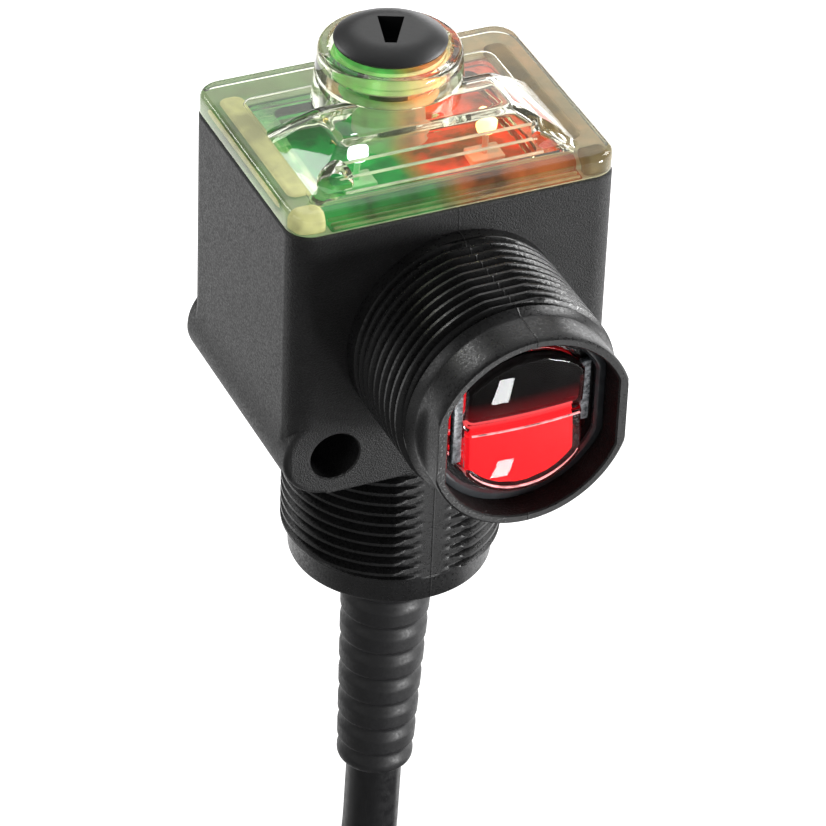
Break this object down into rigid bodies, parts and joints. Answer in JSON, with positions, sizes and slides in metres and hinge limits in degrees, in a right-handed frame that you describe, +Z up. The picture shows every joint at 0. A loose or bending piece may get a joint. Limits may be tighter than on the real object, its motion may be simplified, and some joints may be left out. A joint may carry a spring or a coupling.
{
  "type": "photoelectric sensor",
  "caption": "Box-shaped optical sensor with a threaded lens nose, threaded cable base, clear indicator cover with a slotted adjuster, and a free cable.",
  "frame": {"origin": "on the axis of the threaded base barrel, where the barrel meets the underside of the housing", "axes": "+Z up along the base barrel towards the indicator cover, -Y the way the lens nose points, +X to the right seen from the front"},
  "size_m": [0.0902, 0.071, 0.1323],
  "materials": {
    "housing_plastic": "fine grain",
    "clear_cover": "polished, clear yellow-green",
    "clear_guide": "polished, clear",
    "gasket_rubber": "matte",
    "dial_plastic": "satin",
    "pale_plastic": "satin",
    "board": "solder mask",
    "green_led": "clear, lit",
    "orange_led": "clear, lit",
    "chip_plastic": "satin",
    "contact_metal": "bright",
    "ceramic": "matte",
    "lens": "polished, clear",
    "grey_rubber": "satin",
    "red_filter": "clear deep red",
    "red_led": "clear, lit",
    "can_metal": "drawn",
    "amber_film": "satin",
    "wire_pvc": "satin",
    "resin": "cast",
    "relief_rubber": "satin",
    "cable_jacket": "satin",
    "tie_plastic": "satin",
    "wire_brown": "satin",
    "wire_white": "satin",
    "wire_blue": "satin",
    "wire_black": "satin"
  },
  "bodies": {
    "sensor": {"housing": "housing_plastic", "indicator_cover": "clear_cover", "light_guide": "clear_guide", "cover_gasket": "gasket_rubber", "adjuster_seal": "gasket_rubber", "potentiometer_body": "pale_plastic", "indicator_board": "board", "power_led": "green_led", "output_led": "orange_led", "board_resistors": "chip_plastic", "board_header": "contact_metal", "main_board": "board", "controller_chip": "chip_plastic", "output_transistors": "chip_plastic", "board_capacitors": "ceramic", "optics_holder": "housing_plastic", "lens": "lens", "lens_gasket": "grey_rubber", "receiver_filter": "red_filter", "emitter_aperture": "housing_plastic", "emitter_led": "red_led", "receiver_photodiode": "chip_plastic", "optics_board": "board", "shield_can": "can_metal", "flex_lead": "amber_film", "inner_wires": "wire_pvc", "potting_plug": "resin", "cable_collar": "can_metal", "strain_relief": "relief_rubber", "cable": "cable_jacket", "cable_coil": "cable_jacket", "cable_tail": "cable_jacket", "cable_tie": "tie_plastic", "conductor_brown": "wire_brown", "conductor_white": "wire_white", "conductor_blue": "wire_blue", "conductor_black": "wire_black"},
    "adjuster": {"adjuster_dial": "dial_plastic", "potentiometer_rotor": "pale_plastic"}
  },
  "joints": [
    {"name": "adjuster_turn", "type": "hinge", "parent": "sensor", "child": "adjuster", "pos_m": [0, 0.0032, 0.0316], "axis": [0, 0, 1], "range_deg": [-135, 135]}
  ]
}
